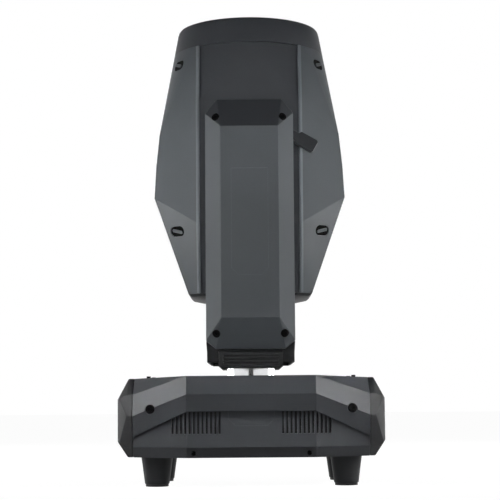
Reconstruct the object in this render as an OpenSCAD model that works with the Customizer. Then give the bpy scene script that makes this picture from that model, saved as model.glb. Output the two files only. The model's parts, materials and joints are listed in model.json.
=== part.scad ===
// Moving head light: base with pan tube, yoke with two arms, tilting head. Millimetres, +Z up.

/* [Base] */
// Length of the base over its end panels
base_len = 364; // [350:1:400]
// Depth of the base over the creases of its belts
base_depth = 304; // [298:1:340]
// Height of the base body without its feet
base_h = 107.5; // [104:0.5:130]
// Height of the feet with their pads
foot_h = 40; // [25:1:60]
// Wall of the moulded base covers
base_wall = 4; // [3:0.5:5]
// Width of the belt in the middle of each long side
belt_w = 170; // [150:1:186]
// Height of the belt above its crease
belt_up_h = 24; // [18:1:30]
// Height of the belt below its crease
belt_low_h = 22; // [16:1:26]
// Lean of the belt above its crease
belt_up_lean = 9; // [4:1:12]
// Lean of the belt below its crease
belt_low_lean = 6; // [3:1:8]
// Fall of the wings from the belt to the end covers
wing_fall = 28.5; // [22:0.5:32]
// Run of the wings back from the belt to the end covers
wing_back = 38; // [30:1:42]
// Height of the wing above its crease at the end cover
wing_up_h = 28.5; // [24:0.5:32]
// Height of the wing below its crease at the end cover
wing_low_h = 28; // [22:1:30]
// Length of each end cover
end_len = 24; // [19:1:26]
// Recess of the lower band behind the crease of the belt
band_recess = 12; // [10:1:16]
// Height of the chamfer under the lower band
band_chamfer_h = 14; // [8:1:16]
// Depth of the chamfer under the lower band
band_chamfer_d = 12; // [6:1:13]
// Width of the top plate across the base
top_plate_w = 140; // [130:1:146]
// Thickness of the steel plates of the base
steel_t = 3; // [2:0.5:4]

/* [Vents, screws and holes] */
// Number of slots in each vent
vent_slots = 12; // [6:1:12]
// Distance between vent slots
vent_pitch = 5.65; // [5:0.05:5.8]
// Width of a vent slot
vent_slot_w = 3; // [2:0.1:3.4]
// Distance of the first vent slot from the middle
vent_start = 40; // [34:1:42]
// Height of the vent slots
vent_h = 30; // [20:1:32]
// Radius of the larger screw heads
screw_r = 6; // [4:0.1:7]
// Radius of the smaller screw heads
small_screw_r = 2.8; // [2.6:0.1:4.5]
// Radius of the clamp bracket holes in the base plate
clamp_hole_r = 5; // [4:0.5:7]
// Distance between clamp holes along the base
clamp_x = 180; // [150:1:190]
// Distance between clamp holes across the base
clamp_y = 106; // [96:1:112]
// Radius of the safety cable hole
safety_r = 7; // [6:0.5:9]
// Distance of the safety cable hole from the middle across the base
safety_y = 80; // [64:1:90]

/* [Feet] */
// Radius of a foot where it meets the base
foot_top_r = 21.5; // [17:0.5:24]
// Radius of a foot at its pad
foot_low_r = 16.5; // [12:0.5:18]
// Distance of the feet from the middle along the base
foot_x = 128; // [110:1:130]
// Distance of the feet from the middle across the base
foot_y = 64; // [50:1:70]
// Thickness of the rubber foot pads
pad_t = 3; // [2:0.5:5]

/* [Pan drive] */
// Outer diameter of the pan tube
pan_tube_d = 67; // [60:1:70]
// Wall of the pan tube
pan_tube_wall = 4; // [3:0.5:6]
// Gap between base and yoke
pan_gap = 11.5; // [8:0.5:20]
// Radius of the fixed pan pulley
pan_pulley_r = 42; // [39:0.5:43]
// Radius of the motor pulleys
motor_pulley_r = 9; // [8:0.5:11]
// Distance from the pan axis to the pan motor
pan_motor_y = 80; // [78:1:80]
// Side of the square stepper motors
motor_w = 50; // [46:1:52]
// Length of the stepper motors
motor_l = 36; // [30:1:38]
// Width of the belts
belt_width = 8; // [6:0.5:9]

/* [Yoke] */
// Height of the louvred tray under the yoke
tray_h = 19; // [17:1:24]
// Width of the louvred tray
tray_w = 84; // [78:1:92]
// Height of the saddle above the tray
saddle_h = 50; // [49:0.5:60]
// Width of the yoke arms
arm_w = 117; // [114:1:126]
// Depth of each yoke arm
arm_d = 62; // [61:1:72]
// Width of the flat face of an arm
arm_face_w = 76; // [72:1:84]
// Depth of the bevels round the arm face
arm_bevel_d = 26; // [20:1:28]
// Height of the bevel over the arm face
arm_top_bevel = 40; // [34:1:46]
// Height of the bevel under the arm face
arm_low_bevel = 40; // [34:1:46]
// Height of the arm above the tilt axis
arm_top = 63; // [60:1:72]
// Height of the cut corners at the top of an arm
arm_cut_h = 19; // [14:1:24]
// Width of the cut corners at the top of an arm
arm_cut_w = 15.5; // [12:0.5:20]
// Wall of the moulded arm covers
arm_wall = 3; // [2.5:0.5:4]
// Length of the plain recess in the arm face
arm_panel_l = 140; // [100:1:160]
// Width of the plain recess in the arm face
arm_panel_w = 48; // [36:1:56]

/* [Tilt drive] */
// Radius of the tilt axles
axle_r = 15; // [12:0.5:16]
// Radius of the tilt bearings
bearing_r = 24; // [22:0.5:26]
// Radius of the tilt pulley
tilt_pulley_r = 30; // [26:0.5:31]
// Distance from the tilt axis down to the tilt motor
tilt_motor_drop = 150; // [130:1:170]
// Radius of the tilt lock disc
lock_disc_r = 30; // [26:0.5:31]
// Width of the tilt lock lever paddle
lever_w = 18; // [14:1:20]
// Reach of the lever from its pivot
lever_l = 58; // [54:1:66]
// Slope of the lever at rest
lever_slope = 30; // [20:1:36]

/* [Head] */
// Length of the head in front of the tilt axis
head_nose = 188; // [182:1:210]
// Length of the head behind the tilt axis
head_tail = 197; // [192:1:215]
// Width of the bezel rim round the lens
bezel_lip = 14; // [10:0.5:16]
// Flare of the bezel from its rim to its seam
bezel_flare = 6; // [4:0.5:10]
// Height of the bezel
bezel_h = 36; // [32:1:40]
// Half width of the head at its widest corner
head_wide = 131; // [126:1:140]
// Half depth of the head at its widest corner
head_wide_y = 64; // [60:1:80]
// Distance of the widest corner below the tilt axis
head_wide_drop = 58; // [48:1:62]
// Half depth of the head at the low end of its crease
head_half_y = 103; // [101:1:106]
// Distance of the low end of the crease below the tilt axis
crease_drop = 98; // [90:1:106]
// Half width of the head at its upper shoulder
shoulder_x = 124; // [121:1:126]
// Half depth of the head at its upper shoulder
shoulder_y = 62; // [56:1:68]
// Height of the upper shoulder above the tilt axis
shoulder_z = 30; // [20:1:40]
// Half width of the panels between the side covers
panel_x = 68; // [66:1:72]
// Half width of the head at its rear seam
tail_x = 85; // [79:1:90]
// Half depth of the head at its rear seam
tail_y = 78; // [75:1:84]
// Height of the rear cap
cap_h = 7; // [6:0.5:12]
// Wall of the moulded head covers
head_wall = 3; // [2.5:0.5:4]
// Radius of the round ends of the quarter-turn fasteners
fastener_r = 7; // [5:0.5:8]
// Distance between the round ends of a fastener
fastener_spread = 10; // [3:0.5:12]
// Radius of the front lens
lens_r = 86; // [80:0.5:87]
// Radius of the colour and gobo wheels
wheel_r = 60; // [56:0.5:62]
// Side of the square cooling fan
fan_w = 92; // [80:1:94]

/* [Clearances] */
// Gap between the head and each arm
arm_gap = 4; // [3:0.5:12]
// Gap between the swinging head and the saddle
swing_gap = 9.5; // [6:0.5:20]
// Radial clearance of shafts in their bearings
shaft_gap = 0.04; // [0.02:0.01:0.08]
// Gap between parts that move past each other
run_gap = 0.5; // [0.4:0.1:0.8]
// Gap between covers that meet at a seam
seam_gap = 0.3; // [0.2:0.05:0.5]
// Travel of the menu buttons
button_travel = 1.5; // [1:0.1:2]
// Travel of the focus carriage each way from its middle
focus_travel = 25; // [15:1:28]

/* [Hidden] */
$fn = 64;

// Small overlap that keeps cuts and joins clean
eps = 1;

// Outline of the base
base_top = foot_h + base_h;
belt_y = base_depth / 2;
belt_x = belt_w / 2;
crease_z = base_top - belt_up_h;
belt_low_z = crease_z - belt_low_h;
wing_x = base_len / 2 - end_len;
wing_crease_y = belt_y - wing_back;
wing_crease_z = crease_z - wing_fall;
wing_top_y = wing_crease_y - wing_up_h * belt_up_lean / belt_up_h;
wing_top_z = wing_crease_z + wing_up_h;
wing_low_y = wing_crease_y - wing_low_h * belt_low_lean / belt_low_h;
wing_low_z = wing_crease_z - wing_low_h;
split_y = top_plate_w / 2;
// Fall of the top surface from the belt to the end covers
top_fall = 2.5;
corner_z = base_top - top_fall;
band_y = belt_y - band_recess;
// Recess of the lower band behind the wings at the end covers
band_end_recess = 4;
band_end_y = wing_low_y - band_end_recess;
band_top = belt_low_z + 2 * base_wall;
plate_top = foot_h + steel_t;
// Plain recesses on the band and on the arm faces
recess_depth = 0.8;
recess_cut = 9;
band_plate_x = 30;
band_plate_z = belt_low_z - 19.5;

pad_border = 1;

// Screws of the base
wing_screw_in = 24;
wing_screw_x = wing_x - wing_screw_in;
wing_screw_recess = 2.2;
wing_screw_room = 1.6;
wing_normal = [wing_back, wing_x - belt_x, 0] / norm([wing_back, wing_x - belt_x]);
low_screw_x = 76;
chamfer_normal = [0, band_chamfer_h, -band_chamfer_d] / norm([band_chamfer_h, band_chamfer_d]);
top_screw_in = 18;
top_screw_side = 15;
shank_r = 2;
hole_gap = 0.2;
head_h = 2.5;

// Power supply and main board on the base plate
supply_l = 100;
supply_w = 96;
supply_h = 42;
supply_x = -20;
groove_w = 4;
groove_d = 2;
groove_pitch = 10;
groove_border = 14;
board_l = 80;
board_w = 84;
board_t = 2;
board_in = 70;
stand_h = 5;
stand_r = 3;
chip_l = 10;
chip_w = 14;
chip_h = 3;
chip_pitch = 13;

// End panels with display and connectors
// The buttons and sockets stand proud of the end faces by the travel of the buttons
end_face = base_len / 2 - button_travel;
end_panel_w = 104;
end_panel_h = 44;
end_panel_z = wing_crease_z - 6;
end_panel_t = 4;
// Flat border of the end cover round its panel
face_border = 6;
flange_rim = face_border - base_wall - seam_gap;
// Flat face of the end cover beyond its panel, and the slope that surrounds it
end_face_side = 32;
end_slope_side = 6;
end_slope_up = 4;
end_slope_low = 18;
end_slope_back = 3;
panel_proud = 0.5;
end_wall_x = end_face - base_wall;
button_w = 10;
button_pitch = 18;
button_y = 26;
button_l = 9;
screen_w = 52;
screen_h = 32;
screen_t = 1.5;
screen_border = 8;

// Levels of the yoke
tube_r = pan_tube_d / 2;
tray_z = base_top + pan_gap;
cross_z = tray_z + tray_h;
cross_t = 4;
cross_top = cross_z + cross_t;
saddle_top = cross_z + saddle_h;
saddle_edge = 12;
pan_bearing_h = 14;
pan_bearing_r = tube_r + 11;
pan_belt_z = saddle_top - arm_wall - 2.5 - belt_width;
belt_t = 1.5;
deck_t = 3;
deck_z = pan_belt_z - 1.5 - deck_t;
leg_t = 3;
motor_gap = 1.5;
motor_shaft_r = 3;

// Head sections, measured from the tilt axis
bezel_rim_r = lens_r + bezel_lip;
bezel_seam_r = bezel_rim_r + bezel_flare;
// Least step from the bezel seam in to the crease, and the swell of the head above it
crease_inset = 4;
crown = 1;
side_crown = 1;
face_z = 70;
nose_seam = head_nose - bezel_h;
tail_seam = cap_h - head_tail;
tail_corner_y = 58;
tail_corner_x = 64;
cap_inset = 19;
head_swing = max(norm([head_nose, bezel_rim_r]), norm([head_tail, tail_x - cap_inset]),
                 norm([tail_seam, tail_x]));
tilt_z = saddle_top + swing_gap + head_swing;
panel_step = 2;

// Outline of the arms
crease_y = max(head_half_y, bezel_seam_r - crease_inset);
arm_in = max(crease_y, bezel_seam_r) + arm_gap;
frame_t = 4;
cover_in = arm_in + frame_t + seam_gap;
arm_out = arm_in + arm_d;
arm_edge = arm_out - arm_bevel_d;
arm_x = arm_w / 2;
face_x = arm_face_w / 2;
arm_bottom = cross_top + seam_gap;
arm_head = tilt_z + arm_top;
face_top = arm_head - arm_top_bevel;
face_bottom = arm_bottom + arm_low_bevel;
low_cut_x = 13;
low_cut_h = 11;
cross_x = arm_x - arm_wall - seam_gap;
cross_reach = arm_edge - 8;
cap_low = tray_z + 6;
cap_reach = arm_edge - 2;
tray_reach = arm_edge + 4;
tray_wall = 2;

// Tilt drive
bearing_w = 12;
bearing_wall = 5;
lock_disc_t = 6;
lock_disc_y = cover_in + 16;
lever_t = 10;
lever_y = lock_disc_y - 1;
lever_hub_r = 10;
lever_pin_r = 4;
pin_proud = 2;
beam_r = 22;
engine_r = 34;
engine_wall = 3;
lever_paddle_l = 28;
lever_stem_w = 11;
lever_pivot_x = 38;
lever_pivot_z = tilt_z + 29;
belt_crown = tilt_pulley_r + run_gap + belt_t + 2 * arm_wall;
belt_side = arm_out - arm_bevel_d * max(0, belt_crown - arm_top + arm_top_bevel) / arm_top_bevel;
tilt_belt_y = min(arm_out - arm_wall - 2.5, belt_side) - belt_width;
tilt_motor_z = tilt_z - tilt_motor_drop;

// Head inside
plate_t = 3;
axle_flange_t = 5;
axle_flange_r = axle_r + 10;
frame_room = 4;
frame_y = crease_y - panel_step - head_wall - frame_room - axle_flange_t - plate_t;
lamp_plate_z = -95;
module_plate_z = -45;
wheel_axis_x = 46;
wheel_t = 2;
colour_wheel_z = module_plate_z + plate_t + 4;
gobo_wheel_z = colour_wheel_z + wheel_t + 8;
wheel_hole_r = 10;
wheel_hub_r = 9;
pin_r = 4;
rod_y = frame_y - 14;
frame_x = 66;
rod_r = 4;
carriage_t = 10;
carriage_z = 62;
carriage_lens_r = 38;
sink_h = 56;
fan_t = 25;
fan_z = lamp_plate_z - sink_h - fan_t;
fan_r = fan_w / 2 - 2.5;
fan_hub_r = 18;
fan_blades = 7;
lens_t = 9;
lens_drop = 24;

function base_section(y_top, z_top, y_mid, z_mid, y_low, z_low, z_back, inset) = [
  [split_y - inset, z_back - inset], [y_top - inset, z_top - inset], [y_mid - inset, z_mid],
  [y_low - inset, z_low + inset], [split_y - inset, z_low + inset]
];
function belt_section(inset) = base_section(belt_y - belt_up_lean, base_top, belt_y, crease_z,
                                            belt_y - belt_low_lean, belt_low_z, base_top, inset);
function wing_section(inset) = base_section(wing_top_y, wing_top_z, wing_crease_y, wing_crease_z,
                                            wing_low_y, wing_low_z, corner_z, inset);
function band_plan(inset, back, end_x) = [
  [-end_x, back], [-end_x, band_end_y - inset], [-belt_x, band_y - inset],
  [belt_x, band_y - inset], [end_x, band_end_y - inset], [end_x, back]
];
function at_x(pts, x) = [for (p = pts) [x, p[0], p[1]]];
function at_z(pts, z) = [for (p = pts) [p[0], p[1], z]];
function both_sides(pts) = concat(pts, [for (i = [len(pts) - 1:-1:0]) [-pts[i][0], pts[i][1]]]);
function four_corners(x, y) = [[x, y], [-x, y], [-x, -y], [x, -y]];
function ring(rx, ry, z) = [for (i = [0:$fn - 1]) [rx * cos(i * 360 / $fn), ry * sin(i * 360 / $fn), z]];
function wing_point(x) = let (t = (x - belt_x) / (wing_x - belt_x))
  [x, belt_y - t * wing_back, crease_z - t * wing_fall];
function wing_floor(x) = belt_low_z - max(0, x - belt_x) * (belt_low_z - wing_low_z) / (wing_x - belt_x);
function unit(v) = v / norm(v);
function facet_normal(f) = unit(cross(f[1] - f[0], f[2] - f[0]));

module hull_points(pts) {
  hull() polyhedron(points = pts, faces = [for (i = [0:len(pts) - 3]) [i, i + 1, i + 2]]);
}
module block(x, y, z) {
  translate([x[0], y[0], z[0]]) cube([x[1] - x[0], y[1] - y[0], z[1] - z[0]]);
}
module pair_x() {
  children();
  mirror([1, 0, 0]) children();
}
module pair_y() {
  children();
  mirror([0, 1, 0]) children();
}
module rod_along_y(r, y) {
  translate([0, y[0], 0]) rotate([-90, 0, 0]) cylinder(r = r, h = y[1] - y[0]);
}
module rod_along_x(r, x) {
  translate([x[0], 0, 0]) rotate([0, 90, 0]) cylinder(r = r, h = x[1] - x[0]);
}
module pipe(r_out, r_in, z) {
  translate([0, 0, z[0]]) difference() {
    cylinder(r = r_out, h = z[1] - z[0]);
    translate([0, 0, -eps]) cylinder(r = r_in, h = z[1] - z[0] + 2 * eps);
  }
}
module aim(place, direction) {
  translate(place) rotate([0, acos(direction[2]), atan2(direction[1], direction[0])]) children();
}
module screw(head, length) {
  difference() {
    cylinder(r = head, h = head_h);
    translate([0, 0, head_h / 2]) cylinder(r = head / 2, h = head_h, $fn = 6);
  }
  translate([0, 0, -length]) cylinder(r = shank_r, h = length + head_h / 4);
}
module screw_hole(length) {
  translate([0, 0, -length]) cylinder(r = shank_r + hole_gap, h = length + eps);
}
module extrude_x(x, pts) {
  translate([x[0], 0, 0]) rotate([90, 0, 90]) linear_extrude(x[1] - x[0]) polygon(pts);
}
module extrude_y(y, pts) {
  translate([0, y[1], 0]) rotate([90, 0, 0]) linear_extrude(y[1] - y[0]) polygon(pts);
}
module belt_outline(r1, r2, distance) {
  hull() {
    circle(r = r1);
    translate([0, -distance]) circle(r = r2);
  }
}
module belt_loop(r1, r2, distance) {
  linear_extrude(belt_width) difference() {
    belt_outline(r1 + run_gap + belt_t, r2 + run_gap + belt_t, distance);
    belt_outline(r1 + run_gap, r2 + run_gap, distance);
  }
}
module pulley(r, bore) {
  difference() {
    union() {
      translate([0, 0, -1]) cylinder(r = r, h = belt_width + 1);
      translate([0, 0, -1]) cylinder(r = r + run_gap + belt_t / 2, h = 1 - run_gap);
    }
    translate([0, 0, -2 * eps]) cylinder(r = bore, h = belt_width + 3 * eps);
  }
}
module stepper(length) {
  corner = 5;
  difference() {
    translate([-motor_w / 2, -motor_w / 2, 0]) cube([motor_w, motor_w, length]);
    for (a = [0:90:270]) {
      rotate([0, 0, a]) translate([motor_w / 2, motor_w / 2, -eps]) rotate([0, 0, 45])
        translate([-corner, -corner, 0]) cube([2 * corner, 2 * corner, length + 2 * eps]);
    }
  }
}

// Base

module base_form(inset) {
  extra = inset > 0 ? eps : 0;
  end_x = wing_x + extra;
  back = split_y - inset;
  extrude_x([-belt_x, belt_x], belt_section(inset));
  pair_x() hull_points(concat(at_x(belt_section(inset), belt_x), at_x(wing_section(inset), end_x)));
  hull_points(concat(
    at_z(band_plan(inset + band_chamfer_d, back, end_x), foot_h - extra),
    at_z(band_plan(inset, back, end_x), foot_h + band_chamfer_h),
    at_z(band_plan(inset, back, end_x), band_top)));
}
module wing_screw_places() {
  pair_x() aim(wing_point(wing_screw_x) - wing_screw_recess * wing_normal, wing_normal) children();
}
module low_screw_places() {
  middle = [low_screw_x, band_y - band_chamfer_d / 2, foot_h + band_chamfer_h / 2];
  pair_x() aim(middle, chamfer_normal) children();
}
module base_cover() {
  color("#44474a") difference() {
    base_form(0);
    base_form(base_wall);
    pair_x() for (i = [0:vent_slots - 1]) {
      x = vent_start + i * vent_pitch;
      top = wing_floor(x + vent_slot_w) - eps;
      block([x, x + vent_slot_w], [split_y, belt_y], [belt_low_z - vent_h, top]);
    }
    wing_screw_places() {
      cylinder(r = screw_r + wing_screw_room, h = 12);
      screw_hole(20);
    }
    low_screw_places() screw_hole(12);
    extrude_y([band_y - recess_depth, band_y + eps], both_sides([
      [band_plate_x, belt_low_z], [band_plate_x, band_plate_z + recess_cut],
      [band_plate_x - recess_cut, band_plate_z]]));
  }
}
module base_cover_rear() {
  base_cover();
}
module base_cover_front() {
  mirror([0, 1, 0]) base_cover();
}
module base_chassis() {
  edge = base_wall + band_chamfer_d + seam_gap;
  end_x = wing_x - seam_gap;
  upright_x = wing_x - 3 * steel_t;
  upright_y = split_y - 3 * steel_t;
  fold_h = belt_low_z - foot_h - seam_gap;
  color("#2b2c2e") difference() {
    union() {
      translate([0, 0, foot_h]) pair_y() {
        linear_extrude(steel_t) polygon(band_plan(edge, -eps, end_x));
        linear_extrude(fold_h) difference() {
          polygon(band_plan(edge, 0, end_x));
          polygon(band_plan(edge + steel_t, -eps, end_x + eps));
        }
      }
      pair_x() extrude_x([upright_x, upright_x + steel_t], [
        [-upright_y, plate_top], [upright_y, plate_top], [upright_y, top_under(upright_x + steel_t)],
        [-upright_y, top_under(upright_x + steel_t)]]);
    }
    for (p = four_corners(clamp_x / 2, clamp_y / 2)) {
      translate([p[0], p[1], foot_h - eps]) cylinder(r = clamp_hole_r, h = steel_t + 2 * eps);
    }
    translate([0, safety_y, foot_h - eps]) cylinder(r = safety_r, h = steel_t + 2 * eps);
  }
}
function top_at(x) = base_top - max(0, x - belt_x) * top_fall / (wing_x - belt_x);
function top_under(x) = top_at(x) - steel_t;
module base_top_plate() {
  y = split_y - seam_gap;
  color("#3a3c3f") difference() {
    extrude_y([-y, y], [
      [-wing_x, corner_z - steel_t], [-belt_x, base_top - steel_t], [belt_x, base_top - steel_t],
      [wing_x, corner_z - steel_t], [wing_x, corner_z], [belt_x, base_top], [-belt_x, base_top],
      [-wing_x, corner_z]]);
    translate([0, 0, base_top - 2 * steel_t]) cylinder(r = tube_r + seam_gap, h = 3 * steel_t);
    top_screw_places() screw_hole(2 * steel_t);
  }
}
module top_screw_places() {
  for (p = four_corners(wing_x - top_screw_in, split_y - top_screw_side)) {
    translate([p[0], p[1], top_at(abs(p[0]) - screw_r)]) children();
  }
}
module end_form(inset) {
  root = inset > 0 ? eps : 0;
  step = 8;
  fall = 5;
  face_y = end_panel_w / 2 + end_face_side - inset;
  near_y = face_y + end_slope_side;
  full = [
    [wing_top_y - inset, wing_top_z - inset], [wing_crease_y - inset, wing_crease_z],
    [band_end_y - inset, foot_h + band_chamfer_h], [band_end_y - band_chamfer_d - inset, foot_h + inset]];
  top = [[split_y - inset / 2, corner_z - inset]];
  eased = [for (p = full) [p[0] - fall, p[1]]];
  near = [[near_y, wing_top_z - end_slope_up - inset], [near_y, foot_h + end_slope_low + inset]];
  face = [[face_y, end_panel_z + end_panel_h / 2 + face_border - inset],
          [face_y, end_panel_z - end_panel_h / 2 - face_border + inset]];
  hull_points(concat(
    at_x(both_sides(concat(top, full)), wing_x + seam_gap - root),
    at_x(both_sides(concat(top, eased)), wing_x + step - inset / 2),
    at_x(both_sides(near), end_face - end_slope_back - inset),
    at_x(both_sides(face), end_face - panel_proud - inset)));
}
module end_cover() {
  y = end_panel_w / 2 + seam_gap;
  z = end_panel_h / 2 + seam_gap;
  color("#3d3f42") difference() {
    end_form(0);
    end_form(base_wall);
    block([end_face - 3 * base_wall, end_face + eps], [-y, y], [end_panel_z - z, end_panel_z + z]);
  }
}
module base_end_right() {
  end_cover();
}
module base_end_left() {
  mirror([1, 0, 0]) end_cover();
}
module end_panel() {
  y = end_panel_w / 2;
  z = end_panel_h / 2;
  back = end_wall_x - panel_proud - seam_gap;
  block([back, end_face], [-y, y], [end_panel_z - z, end_panel_z + z]);
  block([back - end_panel_t, back], [-y - flange_rim, y + flange_rim],
        [end_panel_z - z - flange_rim, end_panel_z + z + flange_rim]);
}
module display_panel() {
  color("#26282a") mirror([1, 0, 0]) difference() {
    end_panel();
    translate([0, -screen_place(), end_panel_z])
      block([end_face - screen_t, base_len], [-screen_w / 2, screen_w / 2], [-screen_h / 2, screen_h / 2]);
    for (p = button_places()) {
      w = button_w / 2 + run_gap;
      translate([0, p[0], p[1]]) block([0, base_len], [-w, w], [-w, w]);
    }
  }
}
function screen_place() = end_panel_w / 2 - screen_w / 2 - screen_border;
function button_places() = [for (j = [0, 1], i = [0, 1])
  [button_y - button_pitch / 2 + i * button_pitch, end_panel_z + (j - 0.5) * button_pitch]];
module display_screen() {
  w = screen_w / 2 - hole_gap;
  h = screen_h / 2 - hole_gap;
  color("#101418") mirror([1, 0, 0]) translate([0, -screen_place(), end_panel_z])
    block([end_face - screen_t, end_face - hole_gap], [-w, w], [-h, h]);
}
module button(i) {
  p = button_places()[i];
  color("#8a8d90") mirror([1, 0, 0])
    translate([base_len / 2 - button_l, p[0] - button_w / 2, p[1] - button_w / 2])
      cube([button_l, button_w, button_w]);
}
module button_menu() {
  button(0);
}
module button_up() {
  button(1);
}
module button_down() {
  button(2);
}
module button_enter() {
  button(3);
}
// Connector places on the right end panel: inlet, data input, data output, fuse
inlet_y = -34;
inlet_w = 28;
inlet_h = 22;
inlet_depth = 14;
data_in_y = -6;
data_out_y = 22;
data_r = 12;
data_bore_r = 9;
data_depth = 12;
data_floor = base_len / 2 - data_depth;
data_pin_r = 1.2;
data_pin_l = 6;
fuse_y = 43;
fuse_r = 7;
fuse_slot = [1.5, 11, 1.6];
socket_l = 20;
socket_back = end_face - socket_l;
module connector_panel() {
  color("#26282a") difference() {
    end_panel();
    block([0, base_len], [inlet_y - inlet_w / 2 - hole_gap, inlet_y + inlet_w / 2 + hole_gap],
          [end_panel_z - inlet_h / 2 - hole_gap, end_panel_z + inlet_h / 2 + hole_gap]);
    for (y = [data_in_y, data_out_y]) {
      translate([0, y, end_panel_z]) rod_along_x(data_r + hole_gap, [0, base_len]);
    }
    translate([0, fuse_y, end_panel_z]) rod_along_x(fuse_r + hole_gap, [0, base_len]);
  }
}
module power_inlet() {
  wall = 3;
  blade = [7, 2, 5];
  color("#1b1c1e") {
    difference() {
      block([socket_back, base_len / 2], [inlet_y - inlet_w / 2, inlet_y + inlet_w / 2],
            [end_panel_z - inlet_h / 2, end_panel_z + inlet_h / 2]);
      block([base_len / 2 - inlet_depth, base_len / 2 + eps],
            [inlet_y - inlet_w / 2 + wall, inlet_y + inlet_w / 2 - wall],
            [end_panel_z - inlet_h / 2 + wall, end_panel_z + inlet_h / 2 - wall]);
    }
    for (y = [-7, 0, 7]) {
      translate([base_len / 2 - inlet_depth - eps, inlet_y + y - blade[1] / 2, end_panel_z - blade[2] / 2])
        cube([blade[0] + eps, blade[1], blade[2]]);
    }
  }
}
module data_pin_places() {
  for (a = [90, 210, 330]) {
    rotate([a, 0, 0]) translate([0, data_bore_r / 2, 0]) children();
  }
}
module data_input() {
  color("#55585b") translate([0, data_in_y, end_panel_z]) {
    difference() {
      rod_along_x(data_r, [socket_back, base_len / 2]);
      rod_along_x(data_bore_r, [data_floor, base_len / 2 + eps]);
    }
    data_pin_places() rod_along_x(data_pin_r, [data_floor - eps, data_floor + data_pin_l]);
  }
}
module data_output() {
  color("#55585b") translate([0, data_out_y, end_panel_z]) difference() {
    rod_along_x(data_r, [socket_back, base_len / 2]);
    data_pin_places() rod_along_x(data_pin_r + hole_gap, [data_floor, base_len]);
  }
}
module fuse_holder() {
  color("#1b1c1e") translate([0, fuse_y, end_panel_z]) difference() {
    rod_along_x(fuse_r, [socket_back, base_len / 2]);
    block([base_len / 2 - fuse_slot[0], base_len], [-fuse_slot[1] / 2, fuse_slot[1] / 2],
          [-fuse_slot[2] / 2, fuse_slot[2] / 2]);
  }
}
module foot_places() {
  for (p = four_corners(foot_x, foot_y)) {
    translate([p[0], p[1], 0]) children();
  }
}
module feet() {
  color("#2a2b2d") foot_places() translate([0, 0, pad_t])
    cylinder(r1 = foot_low_r, r2 = foot_top_r, h = foot_h - pad_t);
}
module foot_pads() {
  color("#161617") foot_places() cylinder(r = foot_low_r - pad_border, h = pad_t);
}
module base_screws() {
  color("#17181a") {
    pair_y() wing_screw_places() screw(screw_r, base_wall + 4);
    pair_y() low_screw_places() screw(small_screw_r, base_wall + 2);
    top_screw_places() screw(small_screw_r, 2 * steel_t);
  }
}
module pan_tube() {
  flange_t = 5;
  color("#c9ccd0") {
    pipe(tube_r, tube_r - pan_tube_wall, [base_top - steel_t - flange_t, pan_belt_z + belt_width + 1]);
    pipe(tube_r + 15, tube_r - pan_tube_wall, [base_top - steel_t - flange_t, base_top - steel_t]);
  }
}
module pan_pulley() {
  color("#9a9ea3") translate([0, 0, pan_belt_z]) pulley(pan_pulley_r, tube_r + shaft_gap);
}
module power_supply() {
  groove_y = supply_w / 2 - groove_border;
  color("#8d9196") translate([supply_x, 0, plate_top]) difference() {
    block([-supply_l / 2, supply_l / 2], [-supply_w / 2, supply_w / 2], [0, supply_h]);
    for (i = [-3:3]) {
      translate([i * groove_pitch, 0, supply_h - groove_d])
        block([-groove_w / 2, groove_w / 2], [-groove_y, groove_y], [0, groove_d + eps]);
    }
  }
}
module main_board() {
  color("#22543a") translate([wing_x - board_in, 0, plate_top]) {
    block([-board_l / 2, board_l / 2], [-board_w / 2, board_w / 2], [stand_h, stand_h + board_t]);
    for (p = four_corners(board_l / 2 - 2 * stand_r, board_w / 2 - 2 * stand_r)) {
      translate([p[0], p[1], 0]) cylinder(r = stand_r, h = stand_h + eps);
    }
    for (i = [0:3]) {
      translate([chip_pitch * (i - 2), chip_pitch * (i - 2), stand_h + board_t - eps / 2])
        cube([chip_l, chip_w, chip_h + i]);
    }
  }
}

// Yoke

module yoke_cross_frame() {
  leg_x = motor_w / 2 + motor_gap;
  deck_y = leg_x + motor_gap;
  color("#2f3134") difference() {
    union() {
      block([-cross_x, cross_x], [-cross_reach, cross_reach], [cross_z, cross_top]);
      pipe(pan_bearing_r + cross_t, pan_bearing_r + shaft_gap, [cross_top - eps, cross_top + pan_bearing_h]);
      translate([0, pan_motor_y, 0]) {
        pair_x() block([leg_x, leg_x + leg_t], [-deck_y, deck_y], [cross_top - eps, deck_z + deck_t]);
        block([-leg_x - eps, leg_x + eps], [-deck_y, deck_y], [deck_z, deck_z + deck_t]);
      }
    }
    translate([0, 0, cross_z - eps]) cylinder(r = tube_r + 2, h = cross_t + 2 * eps);
    translate([0, pan_motor_y, 0]) {
      w = motor_w / 2 + motor_gap / 2;
      block([-w, w], [-w, w], [cross_z - eps, deck_z - eps]);
      translate([0, 0, deck_z - eps]) cylinder(r = motor_pulley_r + 2, h = deck_t + 2 * eps);
    }
    cylinder(r = pan_bearing_r + shaft_gap, h = 2 * cross_top + 2 * pan_bearing_h);
  }
}
module saddle_profile(inset) {
  x = arm_x - inset;
  polygon([[-x, cap_low], [-x, saddle_top - saddle_edge - inset / 2], [-x + saddle_edge, saddle_top - inset],
           [x - saddle_edge, saddle_top - inset], [x, saddle_top - saddle_edge - inset / 2], [x, cap_low]]);
}
module yoke_saddle() {
  y = arm_in - seam_gap;
  color("#3f4245") translate([0, y, 0]) rotate([90, 0, 0]) linear_extrude(2 * y) difference() {
    saddle_profile(0);
    saddle_profile(arm_wall);
    translate([-arm_x + arm_wall, cap_low - eps]) square([2 * (arm_x - arm_wall), 3 * eps]);
  }
}
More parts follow.
